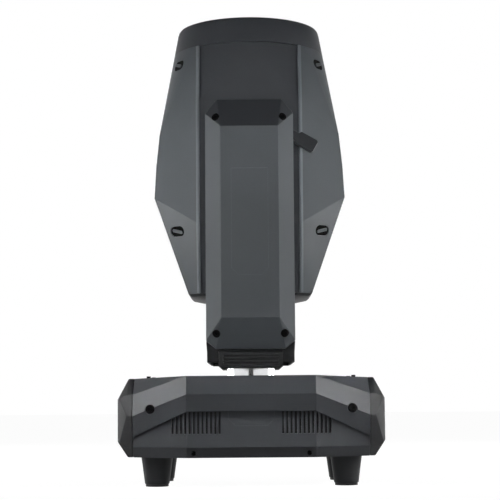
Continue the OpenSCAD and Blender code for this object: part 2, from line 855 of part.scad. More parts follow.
module yoke_tray() {
  x = tray_w / 2;
  slot_h = 2.6;
  slot_x = x - 3 * tray_wall;
  slot_depth = 1.5 * tray_wall;
  color("#1a1b1d") difference() {
    block([-x, x], [-tray_reach, tray_reach], [tray_z, cross_z]);
    block([-x + tray_wall, x - tray_wall], [-tray_reach + 2 * tray_wall, tray_reach - 2 * tray_wall],
          [tray_z + tray_wall, cross_z + eps]);
    translate([0, 0, tray_z - eps]) cylinder(r = tube_r + 2, h = tray_h);
    pair_y() for (z = [3.5, 8, 12.5]) {
      translate([0, tray_reach, tray_z + z]) block([-slot_x, slot_x], [-slot_depth, eps], [0, slot_h]);
    }
  }
}
function arm_outline(inset) = both_sides([
  [arm_x - arm_cut_w - inset / 2, arm_head - inset], [arm_x - inset, arm_head - arm_cut_h - inset / 2],
  [arm_x - inset, arm_bottom + low_cut_h + inset / 2], [arm_x - low_cut_x - inset / 2, arm_bottom + inset]]);
function arm_face(inset) = both_sides([
  [face_x - inset / 2, face_top - inset / 2], [face_x - inset / 2, face_bottom + inset / 2]]);
function at_y(pts, y) = [for (p = pts) [p[0], y, p[1]]];
module arm_form(inset, start) {
  hull_points(concat(at_y(arm_outline(inset), start), at_y(arm_outline(inset), arm_edge),
                     at_y(arm_face(inset), arm_out - inset)));
}
// Corner facets that carry the arm screws: face corner, then the two ends of the cut corner
top_facet = [[face_x, arm_out, face_top], [arm_x - arm_cut_w, arm_edge, arm_head],
             [arm_x, arm_edge, arm_head - arm_cut_h]];
low_facet = [[face_x, arm_out, face_bottom], [arm_x, arm_edge, arm_bottom + low_cut_h],
             [arm_x - low_cut_x, arm_edge, arm_bottom]];
function facet_point(f, share) = share[0] * f[0] + share[1] * f[1] + share[2] * f[2];
top_screw_share = [0.56, 0.22, 0.22];
low_screw_share = [0.46, 0.16, 0.38];
module arm_screw_places() {
  pair_x() {
    aim(facet_point(top_facet, top_screw_share), facet_normal(top_facet)) children();
    aim(facet_point(low_facet, low_screw_share), facet_normal(low_facet)) children();
  }
}
module arm_cover() {
  panel_z = (face_top + face_bottom) / 2;
  w = arm_panel_w / 2;
  l = arm_panel_l / 2;
  difference() {
    arm_form(0, cover_in);
    arm_form(arm_wall, cover_in - eps);
    extrude_y([arm_out - recess_depth, arm_out + eps], [
      [-w, panel_z + l], [w, panel_z + l], [w, panel_z - l + recess_cut], [w - recess_cut, panel_z - l],
      [-w + recess_cut, panel_z - l], [-w, panel_z - l + recess_cut]]);
    arm_screw_places() screw_hole(12);
  }
}
module arm_cover_rear() {
  color("#4b4f51") arm_cover();
}
module arm_cover_front() {
  half = lever_stem_w / 2 + 3;
  color("#4b4f51") difference() {
    mirror([0, 1, 0]) arm_cover();
    block([arm_x - 3 * arm_wall, arm_x + eps], [-lever_y - lever_t - 1.5, -lever_y + 1.5], [
      lever_pivot_z - (arm_x - lever_pivot_x) * tan(lever_slope) - half / cos(lever_slope) - eps,
      lever_pivot_z + half + eps]);
  }
}
module arm_frame() {
  color("#2f3134") difference() {
    union() {
      extrude_y([arm_in, arm_in + frame_t], [
        for (p = arm_outline(0)) [p[0], p[1] == arm_bottom ? cross_top : p[1]]]);
      translate([0, 0, tilt_z]) rod_along_y(bearing_r + bearing_wall, [arm_in, arm_in + bearing_w]);
    }
    translate([0, 0, tilt_z]) rod_along_y(bearing_r + shaft_gap, [arm_in - eps, arm_in + bearing_w + eps]);
  }
}
module arm_frame_rear() {
  arm_frame();
}
module arm_frame_front() {
  color("#2f3134") {
    mirror([0, 1, 0]) arm_frame();
    translate([lever_pivot_x, 0, lever_pivot_z])
      rod_along_y(lever_pin_r, [-lever_y - lever_t - pin_proud, -arm_in - frame_t + eps]);
  }
}
module arm_end_caps() {
  taper = 2;
  top = cross_top - seam_gap;
  color("#232426") pair_y() difference() {
    extrude_y([arm_in, cap_reach], both_sides([
      [arm_x - low_cut_x, top], [arm_x, top + low_cut_h], [arm_x - taper, cap_low]]));
    block([-cross_x - hole_gap, cross_x + hole_gap], [arm_in - eps, cross_reach + hole_gap],
          [cross_z, top + eps]);
    block([-tray_w / 2 - hole_gap, tray_w / 2 + hole_gap], [arm_in - eps, cap_reach + eps],
          [cap_low - eps, cross_z + eps]);
  }
}
module arm_screws() {
  color("#121314") pair_y() arm_screw_places() screw(screw_r - 0.8, 7);
}
module pan_bearing() {
  color("#b4b8bc") pipe(pan_bearing_r, tube_r + shaft_gap, [cross_z, cross_top + pan_bearing_h]);
}
module pan_motor() {
  color("#2b2d30") translate([0, pan_motor_y, deck_z - motor_l]) {
    stepper(motor_l);
    cylinder(r = motor_shaft_r, h = motor_l + deck_t + 1.5 + belt_width);
  }
}
module pan_motor_pulley() {
  color("#c8b878") translate([0, pan_motor_y, pan_belt_z])
    pulley(motor_pulley_r, motor_shaft_r + shaft_gap);
}
module pan_belt() {
  color("#161718") translate([0, 0, pan_belt_z]) mirror([0, 1, 0])
    belt_loop(pan_pulley_r, motor_pulley_r, pan_motor_y);
}
module tilt_bearings() {
  color("#b4b8bc") pair_y() translate([0, arm_in, tilt_z]) rotate([-90, 0, 0])
    pipe(bearing_r, axle_r + shaft_gap, [0, bearing_w]);
}
module tilt_motor() {
  color("#2b2d30") translate([0, arm_in + frame_t, tilt_motor_z]) rotate([-90, 0, 0]) {
    stepper(motor_l);
    cylinder(r = motor_shaft_r, h = tilt_belt_y + belt_width - arm_in - frame_t);
  }
}
module tilt_motor_pulley() {
  color("#c8b878") translate([0, tilt_belt_y, tilt_motor_z]) rotate([-90, 0, 0])
    pulley(motor_pulley_r, motor_shaft_r + shaft_gap);
}
module tilt_belt() {
  color("#161718") translate([0, tilt_belt_y, tilt_z]) rotate([-90, 0, 0]) mirror([0, 1, 0])
    belt_loop(tilt_pulley_r, motor_pulley_r, tilt_motor_drop);
}
module tilt_lock_lever() {
  stem = lever_stem_w / 2;
  grip = lever_l - lever_paddle_l;
  color("#141516") translate([lever_pivot_x, -lever_y, lever_pivot_z]) rotate([90, 0, 0]) difference() {
    linear_extrude(lever_t) union() {
      circle(r = lever_hub_r);
      rotate(-lever_slope) {
        polygon([[0, -stem], [grip, -stem], [grip + 2, -lever_w / 2], [lever_l - 2, -lever_w / 2],
                 [lever_l, -lever_w / 2 + 2], [lever_l, lever_w / 2 - 2], [lever_l - 2, lever_w / 2],
                 [grip + 2, lever_w / 2], [grip, stem], [0, stem]]);
      }
    }
    translate([0, 0, -eps]) cylinder(r = lever_pin_r + shaft_gap, h = lever_t + 2 * eps);
  }
}

// Head, drawn with the tilt axis at its origin

module in_head() {
  translate([0, 0, tilt_z]) children();
}
function tail_ring(shrink) = concat(four_corners(tail_x - shrink, tail_corner_y - shrink / 2),
                                    four_corners(tail_corner_x - shrink / 2, tail_y - shrink));
function head_side(x, y, inset) = four_corners(x - inset, y - inset / 2);
function head_face(swell, inset) = four_corners(panel_x + seam_gap - inset / 2, crease_y + swell - inset);
module head_form(inset) {
  open = inset > panel_step ? eps : 0;
  hull_points(concat(
    ring(bezel_seam_r - inset, bezel_seam_r - inset, nose_seam - seam_gap + open),
    at_z(head_face(crown, inset), face_z),
    at_z(head_side(shoulder_x, shoulder_y, inset), shoulder_z),
    at_z(head_side((shoulder_x + head_wide) / 2 + side_crown, (shoulder_y + head_wide_y) / 2, inset),
         (shoulder_z - head_wide_drop) / 2),
    at_z(head_side(head_wide, head_wide_y, inset), -head_wide_drop),
    at_z(head_face(0, inset), -crease_drop),
    at_z(tail_ring(inset), tail_seam + seam_gap - open)));
}
// Lower side facet of a cover: widest corner, low end of the crease, rear corner
side_facet = [[head_wide, head_wide_y, -head_wide_drop], [panel_x, crease_y, -crease_drop],
              [tail_x, tail_corner_y, tail_seam]];
low_fastener_share = [0.42, 0.32, 0.26];
low_fastener = facet_point(side_facet, low_fastener_share);
// Upper fasteners sit on the cone that runs from the bezel seam to a corner of the shoulder
fastener_drop = 22;
fastener_turn = 30;
shoulder_corner = [shoulder_x, shoulder_y, shoulder_z];
cone_start = [bezel_seam_r * cos(fastener_turn), bezel_seam_r * sin(fastener_turn), nose_seam];
high_normal = unit(cross([-sin(fastener_turn), cos(fastener_turn), 0], cone_start - shoulder_corner));
high_fastener = cone_start + fastener_drop / (nose_seam - shoulder_z) * (shoulder_corner - cone_start);
fastener_seat = 1.6;
fastener_bar_w = 2.4;
fastener_shank = 10;
// Slot shape with round ends that lies along Y
module oval(r, h) {
  y = fastener_spread / 2;
  pair_y() translate([0, y, 0]) cylinder(r = r, h = h);
  block([-r, r], [-y, y], [0, h]);
}
module fastener_places() {
  low_normal = -facet_normal(side_facet);
  pair_y() pair_x() {
    aim(low_fastener - fastener_seat * low_normal, low_normal) children();
    aim(high_fastener - fastener_seat * high_normal, high_normal) children();
  }
}
module head_cover_right() {
  wide = 2 * head_wide;
  color("#4a4e50") in_head() difference() {
    head_form(0);
    head_form(head_wall);
    block([-wide, panel_x + seam_gap], [-wide, wide], [-wide, wide]);
    fastener_places() {
      oval(fastener_r + seam_gap, 4 * fastener_seat);
      translate([0, 0, -fastener_shank]) cylinder(r = shank_r + hole_gap, h = fastener_shank + eps);
    }
  }
}
module head_cover_left() {
  mirror([1, 0, 0]) head_cover_right();
}
module head_panels() {
  far = 2 * head_wide;
  color("#2e3032") in_head() difference() {
    head_form(panel_step);
    head_form(panel_step + head_wall);
    pair_x() block([panel_x, far], [-far, far], [-far, far]);
    rod_along_y(axle_r + 1, [-far, far]);
  }
}
module front_bezel() {
  rim = head_nose;
  seat = head_nose - lens_drop;
  color("#303234") in_head() rotate_extrude($fn = 96) polygon([
    [lens_r - 6, nose_seam], [bezel_seam_r, nose_seam], [bezel_rim_r + 0.6, rim - 7],
    [bezel_rim_r - 0.6, rim - 3], [bezel_rim_r - 2.2, rim - 0.9], [bezel_rim_r - 4.5, rim],
    [bezel_rim_r - 6, rim - 0.6],
    [lens_r + 3, seat + 12], [lens_r + seam_gap, seat + lens_t / 2], [lens_r + seam_gap, seat],
    [lens_r - 6, seat]]);
}
module front_lens() {
  dome = 6;
  radius = (lens_r * lens_r + dome * dome) / (2 * dome);
  seat = head_nose - lens_drop;
  color("#a9c4d0") in_head() rotate_extrude($fn = 96) union() {
    translate([0, seat]) square([lens_r, lens_t / 2]);
    intersection() {
      translate([0, seat + lens_t / 2 - eps]) square([lens_r, dome + 2 * eps]);
      translate([0, seat + lens_t / 2 + dome - radius]) circle(r = radius, $fn = 360);
    }
  }
}
module cap_form(inset) {
  round_h = cap_h / 2;
  open = inset > 0 ? eps : 0;
  hull_points(concat(
    at_z(tail_ring(inset), tail_seam + open),
    at_z(tail_ring(4 + inset), round_h - head_tail),
    at_z(tail_ring(cap_inset + inset), inset - head_tail)));
}
module rear_cap() {
  slot_w = 4;
  slot_pitch = 8.8;
  slot_y = 40;
  color("#313335") in_head() difference() {
    cap_form(0);
    cap_form(head_wall);
    for (i = [-5:5]) {
      translate([i * slot_pitch, 0, -head_tail])
        block([-slot_w / 2, slot_w / 2], [-slot_y, slot_y], [-eps, 2 * head_wall]);
    }
  }
}
module head_fasteners() {
  disc_t = fastener_seat / 2;
  bar_x = fastener_bar_w / 2;
  bar_y = (fastener_spread + fastener_r) / 2;
  color("#1c1d1f") in_head() fastener_places() {
    oval(fastener_r, disc_t);
    block([-bar_x, bar_x], [-bar_y, bar_y], [disc_t / 2, fastener_seat]);
    translate([0, 0, -fastener_shank]) cylinder(r = shank_r, h = fastener_shank + disc_t / 2);
  }
}
module head_frame() {
  reach = frame_y + plate_t;
  side_x = sqrt(pow(bezel_seam_r - panel_step - head_wall, 2) - reach * reach) - frame_room;
  color("#3a3d40") in_head() {
    difference() {
      union() {
        pair_y() block([-side_x, side_x], [frame_y, reach], [lamp_plate_z, nose_seam - plate_t + eps / 2]);
        pipe(bezel_seam_r - head_wall - 3, carriage_lens_r + 38, [nose_seam - plate_t, nose_seam]);
        for (z = [lamp_plate_z, module_plate_z]) {
          block([-frame_x, frame_x], [-frame_y - eps / 2, frame_y + eps / 2], [z, z + plate_t]);
        }
      }
      cylinder(r = beam_r, h = 2 * (module_plate_z - lamp_plate_z), center = true);
      translate([0, 0, lamp_plate_z - eps]) cylinder(r = beam_r, h = plate_t + 2 * eps);
    }
    pair_y() {
      translate([0, rod_y, module_plate_z + eps]) cylinder(r = rod_r, h = focus_end - module_plate_z);
      translate([0, rod_y, focus_end])
        block([-2 * rod_r, 2 * rod_r], [-2 * rod_r, frame_y - rod_y + eps / 2], [0, plate_t]);
    }
    wheel_pin(wheel_axis_x, colour_wheel_z);
    wheel_pin(-wheel_axis_x, gobo_wheel_z);
  }
}
module wheel_pin(x, z) {
  translate([x, 0, module_plate_z]) cylinder(r = pin_r, h = z + wheel_t + pin_proud - module_plate_z);
}
focus_end = carriage_z + carriage_t + focus_travel + 6;
module wheel(holes) {
  difference() {
    union() {
      cylinder(r = wheel_r, h = wheel_t);
      translate([0, 0, -2]) cylinder(r = wheel_hub_r, h = wheel_t + 3);
    }
    translate([0, 0, -4]) cylinder(r = pin_r + shaft_gap, h = wheel_t + 10);
    for (i = [0:holes - 1]) {
      rotate([0, 0, i * 360 / holes]) translate([-wheel_axis_x, 0, -eps])
        cylinder(r = wheel_hole_r, h = wheel_t + 2 * eps);
    }
  }
}
module colour_wheel() {
  color("#7a8f9c") in_head() translate([wheel_axis_x, 0, colour_wheel_z]) wheel(8);
}
module gobo_wheel() {
  color("#9fa3a7") in_head() translate([-wheel_axis_x, 0, gobo_wheel_z]) rotate([0, 0, 180]) wheel(9);
}
module focus_carriage() {
  half_x = carriage_lens_r + 6;
  half_y = rod_y + 9;
  color("#45484b") in_head() translate([0, 0, carriage_z]) {
    difference() {
      block([-half_x, half_x], [-half_y, half_y], [0, carriage_t]);
      translate([0, 0, -eps]) cylinder(r = carriage_lens_r, h = carriage_t + 2 * eps);
      pair_y() translate([0, rod_y, -eps]) cylinder(r = rod_r + shaft_gap, h = carriage_t + 2 * eps);
    }
    translate([0, 0, carriage_t / 4]) cylinder(r = carriage_lens_r + eps / 2, h = carriage_t / 2);
  }
}
module light_engine() {
  color("#d8d9d6") in_head() translate([0, 0, lamp_plate_z + plate_t]) {
    pipe(engine_r, beam_r - engine_wall, [0, 2 * engine_wall]);
    difference() {
      cylinder(r1 = beam_r + engine_wall, r2 = engine_r, h = module_plate_z - lamp_plate_z - 2 * plate_t);
      translate([0, 0, -eps])
        cylinder(r1 = beam_r, r2 = engine_r - engine_wall, h = module_plate_z - lamp_plate_z);
    }
  }
}
module heat_sink() {
  w = 104;
  core = 8;
  fins = 13;
  fin_t = 2;
  color("#8f9499") in_head() {
    block([-w / 2, w / 2], [-w / 2, w / 2], [lamp_plate_z - core, lamp_plate_z]);
    for (i = [0:fins - 1]) {
      x = -w / 2 + i * (w - fin_t) / (fins - 1);
      block([x, x + fin_t], [-w / 2, w / 2], [lamp_plate_z - sink_h, lamp_plate_z - core + eps / 2]);
    }
  }
}
module fan_frame() {
  half = fan_w / 2;
  floor_t = 4;
  strut = 2;
  color("#1d1e20") in_head() translate([0, 0, fan_z]) {
    difference() {
      block([-half, half], [-half, half], [0, fan_t]);
      translate([0, 0, floor_t]) cylinder(r = fan_r, h = fan_t);
      difference() {
        translate([0, 0, -eps]) cylinder(r = fan_r, h = floor_t + 2 * eps);
        for (a = [45, 135]) {
          rotate([0, 0, a]) block([-fan_w, fan_w], [-strut, strut], [-2 * eps, 2 * floor_t]);
        }
        translate([0, 0, -2 * eps]) cylinder(r = fan_hub_r, h = 2 * floor_t);
      }
    }
    translate([0, 0, floor_t / 2]) cylinder(r = pin_r, h = fan_t - floor_t);
  }
}
module fan_rotor() {
  floor_t = 5;
  color("#2c2e30") in_head() translate([0, 0, fan_z + floor_t]) difference() {
    union() {
      cylinder(r = fan_hub_r, h = fan_t - floor_t - 4);
      for (i = [0:fan_blades - 1]) {
        rotate([0, 0, i * 360 / fan_blades]) translate([fan_hub_r - 1, 0, (fan_t - floor_t - 4) / 2])
          rotate([38, 0, 0]) block([0, fan_r - fan_hub_r - 2], [-8, 8], [-0.8, 0.8]);
      }
    }
    translate([0, 0, -eps]) cylinder(r = pin_r + shaft_gap, h = fan_t);
  }
}
module tilt_axles() {
  start = frame_y + plate_t;
  color("#b4b8bc") in_head() {
    mirror([0, 1, 0]) {
      rod_along_y(axle_r, [start, lock_disc_y + lock_disc_t]);
      rod_along_y(axle_flange_r, [start, start + axle_flange_t]);
    }
    rod_along_y(axle_r, [start, tilt_belt_y + belt_width]);
    rod_along_y(axle_flange_r, [start, start + axle_flange_t]);
  }
}
module tilt_pulley() {
  color("#9a9ea3") in_head() translate([0, tilt_belt_y, 0]) rotate([-90, 0, 0])
    pulley(tilt_pulley_r, axle_r + shaft_gap);
}
module tilt_lock_disc() {
  color("#9a9ea3") in_head() difference() {
    rod_along_y(lock_disc_r, [-lock_disc_y - lock_disc_t, -lock_disc_y]);
    rod_along_y(axle_r + shaft_gap, [-lock_disc_y - lock_disc_t - eps, -lock_disc_y + eps]);
  }
}

base_chassis();
base_top_plate();
base_cover_front();
base_cover_rear();
base_end_left();
base_end_right();
feet();
foot_pads();
base_screws();
pan_tube();
pan_pulley();
power_supply();
main_board();
display_panel();
display_screen();
button_menu();
button_up();
button_down();
button_enter();
connector_panel();
power_inlet();
data_input();
data_output();
fuse_holder();
yoke_cross_frame();
yoke_saddle();
yoke_tray();
arm_frame_front();
arm_frame_rear();
arm_cover_front();
arm_cover_rear();
arm_end_caps();
arm_screws();
pan_bearing();
pan_motor();
pan_motor_pulley();
pan_belt();
tilt_bearings();
tilt_motor();
tilt_motor_pulley();
tilt_belt();
tilt_lock_lever();
head_frame();
head_cover_left();
head_cover_right();
head_panels();
front_bezel();
front_lens();
rear_cap();
head_fasteners();
tilt_axles();
tilt_pulley();
tilt_lock_disc();
heat_sink();
light_engine();
fan_frame();
fan_rotor();
colour_wheel();
gobo_wheel();
focus_carriage();
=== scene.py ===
"""Looks of the moving head light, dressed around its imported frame. Metres, +Z up, the photographed side is -Y."""

import json
import math

import bmesh
import bpy
from mathutils import Matrix, Vector, geometry


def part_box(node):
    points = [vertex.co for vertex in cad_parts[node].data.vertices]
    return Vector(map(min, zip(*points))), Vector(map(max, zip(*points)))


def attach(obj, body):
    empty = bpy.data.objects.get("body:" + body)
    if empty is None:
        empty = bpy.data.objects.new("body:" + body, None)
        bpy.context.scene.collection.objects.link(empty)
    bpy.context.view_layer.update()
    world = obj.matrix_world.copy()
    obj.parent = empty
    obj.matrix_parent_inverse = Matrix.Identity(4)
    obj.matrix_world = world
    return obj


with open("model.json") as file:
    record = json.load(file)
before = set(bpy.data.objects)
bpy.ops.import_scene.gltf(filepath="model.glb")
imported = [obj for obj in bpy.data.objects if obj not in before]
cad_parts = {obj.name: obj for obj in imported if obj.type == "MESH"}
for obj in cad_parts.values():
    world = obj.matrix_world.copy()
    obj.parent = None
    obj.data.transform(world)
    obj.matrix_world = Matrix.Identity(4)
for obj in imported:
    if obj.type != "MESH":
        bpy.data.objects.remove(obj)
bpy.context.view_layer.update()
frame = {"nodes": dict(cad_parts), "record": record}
nodes = frame["nodes"]
subparts = frame["record"]["subparts"]
MM = 0.001

# Camera fitted to the perspective of the photograph, whose frame is 500 pixels square
PHOTO_PIXELS = 500
FOCAL_PIXELS = 1500
SENSOR = 36.0
CAMERA_AWAY = 2.115
CAMERA_UP = 0.122
CAMERA_PITCH = math.radians(5.52)
CAMERA_ROLL = math.radians(-0.45)

# Base colours of the finishes, in linear light
COVER_GREY = (0.068, 0.075, 0.082)
DARK_GREY = (0.041, 0.044, 0.0487)
LEVER_GREY = (0.0265, 0.0285, 0.031)
FOOT_GREY = (0.034, 0.0355, 0.0375)
# End covers darker than the base plastic: painted shade of their sideways faces
END_SHADED_GREY = (0.0245, 0.0252, 0.0265)
TAIL_GREY = (0.024, 0.0252, 0.027)
BLACK_PLASTIC = (0.0105, 0.011, 0.012)
BLACK_PAINT = (0.020, 0.021, 0.022)
SCREW_BLACK = (0.0028, 0.0028, 0.003)
RUBBER_BLACK = (0.012, 0.012, 0.0125)
BUTTON_GREY = (0.19, 0.20, 0.21)
STEEL = (0.56, 0.57, 0.58)
POLISHED = (0.78, 0.79, 0.80)
ALUMINIUM = (0.60, 0.61, 0.63)
BRASS = (0.66, 0.50, 0.24)
BOARD_GREEN = (0.012, 0.070, 0.032)
GLASS = (0.95, 0.98, 1.0)
SCREEN = (0.006, 0.010, 0.014)
WHITE = (1.0, 1.0, 1.0)
# Even scale of a texture along its three axes
EVEN = (1.0, 1.0, 1.0)
# Specular level of grained plastic, lower than that of a polished one
SATIN = 0.12


def add_node(tree, kind, inputs=None, **settings):
    """One shader node, with its settings, and its inputs set to values or linked to sockets."""
    made = tree.nodes.new(kind)
    for key, value in settings.items():
        setattr(made, key, value)
    for key, value in (inputs or {}).items():
        if isinstance(value, bpy.types.NodeSocket):
            tree.links.new(value, made.inputs[key])
        else:
            made.inputs[key].default_value = value
    return made


def rgba(colour, share=1.0):
    """Colour times a share, with full alpha."""
    return (*[min(1.0, c * share) for c in colour], 1.0)


def new_material(name):
    material = bpy.data.materials.new(name)
    material.use_nodes = True
    tree = material.node_tree
    return material, tree, tree.nodes["Principled BSDF"]


def object_coords(tree, stretch=EVEN):
    coords = add_node(tree, "ShaderNodeTexCoord").outputs["Object"]
    return add_node(tree, "ShaderNodeMapping", {"Vector": coords, "Scale": stretch}).outputs["Vector"]


def noise(tree, coords, scale, detail=3.0, roughness=0.55):
    """Noise of about 0.5, whose grain is 1/scale metres."""
    inputs = {"Vector": coords, "Scale": scale, "Detail": detail, "Roughness": roughness}
    return add_node(tree, "ShaderNodeTexNoise", inputs).outputs["Fac"]


def remap(tree, value, source, target):
    inputs = {"Value": value, "From Min": source[0], "From Max": source[1],
              "To Min": target[0], "To Max": target[1]}
    return add_node(tree, "ShaderNodeMapRange", inputs).outputs["Result"]


def mix_colours(tree, factor, first, second):
    mix = add_node(tree, "ShaderNodeMix", {"Factor": factor}, data_type="RGBA")
    for socket, value in ((mix.inputs[6], first), (mix.inputs[7], second)):
        if isinstance(value, bpy.types.NodeSocket):
            tree.links.new(value, socket)
        else:
            socket.default_value = value
    return mix.outputs[2]


def multiply(tree, first, second):
    return add_node(tree, "ShaderNodeMath", {0: first, 1: second}, operation="MULTIPLY").outputs[0]


def edge_mask(tree, radius):
    """Close to 1 on outer and inner edges within the radius, 0 on flat faces."""
    rounded = add_node(tree, "ShaderNodeBevel", {"Radius": radius}, samples=4).outputs["Normal"]
    flat = add_node(tree, "ShaderNodeNewGeometry").outputs["True Normal"]
    dot = add_node(tree, "ShaderNodeVectorMath", {0: rounded, 1: flat}, operation="DOT_PRODUCT")
    return remap(tree, dot.outputs["Value"], (0.995, 0.86), (0.0, 1.0))


def bump(tree, shader, height, strength, distance):
    inputs = {"Height": height, "Strength": strength, "Distance": distance}
    tree.links.new(add_node(tree, "ShaderNodeBump", inputs).outputs["Normal"], shader.inputs["Normal"])


def moulded_plastic(name, colour, roughness, grain=1300.0, relief=0.22, highlight_and_wear=0.35):
    """Spark-eroded moulding grain, faint flow variation, and edges painted a little lighter: patchy rubbing wear
    and a painted edge highlight.
    """
    material, tree, shader = new_material(name)
    shader.inputs["Specular IOR Level"].default_value = SATIN
    coords = object_coords(tree)
    fine = noise(tree, coords, grain, 4.0, 0.62)
    flow = remap(tree, noise(tree, coords, 7.0, 4.0), (0.3, 0.7), (0.0, 1.0))
    body = mix_colours(tree, flow, rgba(colour, 0.93), rgba(colour, 1.07))
    specks = remap(tree, fine, (0.35, 0.75), (0.0, 0.35))
    speckled = mix_colours(tree, specks, body, rgba(colour, 1.35))
    # Painted edge highlight mixed with rubbing wear: edges lighter in noisy patches
    patches = remap(tree, noise(tree, coords, 60.0), (0.3, 0.7), (0.2, highlight_and_wear))
    edge_wear_and_highlight = multiply(tree, edge_mask(tree, 0.9 * MM), patches)
    worn_and_highlit = mix_colours(tree, edge_wear_and_highlight, speckled, rgba(colour, 2.2))
    tree.links.new(worn_and_highlit, shader.inputs["Base Color"])
    sheen = remap(tree, fine, (0.3, 0.7), (roughness - 0.05, roughness + 0.07))
    tree.links.new(sheen, shader.inputs["Roughness"])
    bump(tree, shader, fine, relief, 0.25 * MM)
    return material


def powder_coat(name, colour, roughness=0.5):
    """Painted steel with the fine orange peel of powder coating."""
    material, tree, shader = new_material(name)
    shader.inputs["Specular IOR Level"].default_value = SATIN
    coords = object_coords(tree)
    peel = noise(tree, coords, 700.0, 2.0)
    body = mix_colours(tree, noise(tree, coords, 12.0), rgba(colour, 0.85), rgba(colour, 1.2))
    # Painted edge highlight mixed with worn paint: every edge lighter towards bare steel
    edge_wear_and_highlight = multiply(tree, edge_mask(tree, 0.6 * MM), 0.4)
    worn_and_highlit = mix_colours(tree, edge_wear_and_highlight, body, rgba(STEEL, 0.3))
    tree.links.new(worn_and_highlit, shader.inputs["Base Color"])
    sheen = remap(tree, peel, (0.3, 0.7), (roughness - 0.06, roughness + 0.06))
    tree.links.new(sheen, shader.inputs["Roughness"])
    bump(tree, shader, peel, 0.25, 0.2 * MM)
    return material


def worked_metal(name, colour, roughness, stretch, scale=900.0, relief=0.12):
    """Bare metal with fine tool marks, drawn out along the axes where stretch is small."""
    material, tree, shader = new_material(name)
    marks = noise(tree, object_coords(tree, stretch), scale, 3.0)
    haze = noise(tree, object_coords(tree), 25.0)
    shader.inputs["Metallic"].default_value = 1.0
    tint = mix_colours(tree, haze, rgba(colour, 0.9), rgba(colour, 1.06))
    tree.links.new(tint, shader.inputs["Base Color"])
    sheen = remap(tree, marks, (0.25, 0.75), (roughness * 0.75, roughness * 1.3))
    tree.links.new(sheen, shader.inputs["Roughness"])
    bump(tree, shader, marks, relief, 0.1 * MM)
    return material


def black_oxide(name):
    """Blackened screw steel, dull with a trace of oil."""
    material, tree, shader = new_material(name)
    oil = noise(tree, object_coords(tree), 220.0, 4.0)
    tint = mix_colours(tree, oil, rgba(SCREW_BLACK, 0.7), rgba(SCREW_BLACK, 1.3))
    tree.links.new(tint, shader.inputs["Base Color"])
    tree.links.new(remap(tree, oil, (0.3, 0.7), (0.55, 0.75)), shader.inputs["Roughness"])
    shader.inputs["Specular IOR Level"].default_value = 0.2 * SATIN
    bump(tree, shader, oil, 0.1, 0.1 * MM)
    return material


def rubber(name):
    """Matt rubber with dust caught in it."""
    material, tree, shader = new_material(name)
    coords = object_coords(tree)
    dust = noise(tree, coords, 40.0, 5.0)
    dusty = remap(tree, dust, (0.45, 0.8), (0.0, 0.5))
    tint = mix_colours(tree, dusty, rgba(RUBBER_BLACK), rgba(DARK_GREY))
    tree.links.new(tint, shader.inputs["Base Color"])
    tree.links.new(remap(tree, dust, (0.3, 0.7), (0.62, 0.8)), shader.inputs["Roughness"])
    bump(tree, shader, noise(tree, coords, 1600.0), 0.3, 0.15 * MM)
    return material


def clear_glass(name):
    """Moulded lens glass: faint ripple in its surface and a thin coating."""
    material, tree, shader = new_material(name)
    shader.inputs["Base Color"].default_value = rgba(GLASS)
    shader.inputs["Transmission Weight"].default_value = 1.0
    shader.inputs["IOR"].default_value = 1.5
    shader.inputs["Coat Weight"].default_value = 0.3
    shader.inputs["Coat Roughness"].default_value = 0.03
    ripple = noise(tree, object_coords(tree), 30.0, 1.0)
    tree.links.new(remap(tree, ripple, (0.3, 0.7), (0.0, 0.03)), shader.inputs["Roughness"])
    bump(tree, shader, ripple, 0.06, 0.5 * MM)
    return material


def screen_glass(name):
    """Dark display window with a smear of handling on its gloss."""
    material, tree, shader = new_material(name)
    smear = noise(tree, object_coords(tree, (1.0, 1.0, 0.35)), 90.0, 4.0)
    tint = mix_colours(tree, smear, rgba(SCREEN, 0.8), rgba(SCREEN, 1.6))
    tree.links.new(tint, shader.inputs["Base Color"])
    tree.links.new(remap(tree, smear, (0.3, 0.7), (0.06, 0.2)), shader.inputs["Roughness"])
    shader.inputs["Coat Weight"].default_value = 0.6
    return material


def circuit_board(name):
    """Solder mask with fine copper tracks under it."""
    material, tree, shader = new_material(name)
    coords = object_coords(tree)
    tracks = add_node(tree, "ShaderNodeTexVoronoi", {"Vector": coords, "Scale": 260.0},
                      distance="MANHATTAN").outputs["Distance"]
    copper = remap(tree, tracks, (0.3, 0.5), (0.0, 1.0))
    tint = mix_colours(tree, copper, rgba(BOARD_GREEN), rgba(BOARD_GREEN, 1.9))
    tree.links.new(tint, shader.inputs["Base Color"])
    tree.links.new(remap(tree, tracks, (0.0, 1.0), (0.25, 0.45)), shader.inputs["Roughness"])
    bump(tree, shader, tracks, 0.2, 0.05 * MM)
    return material


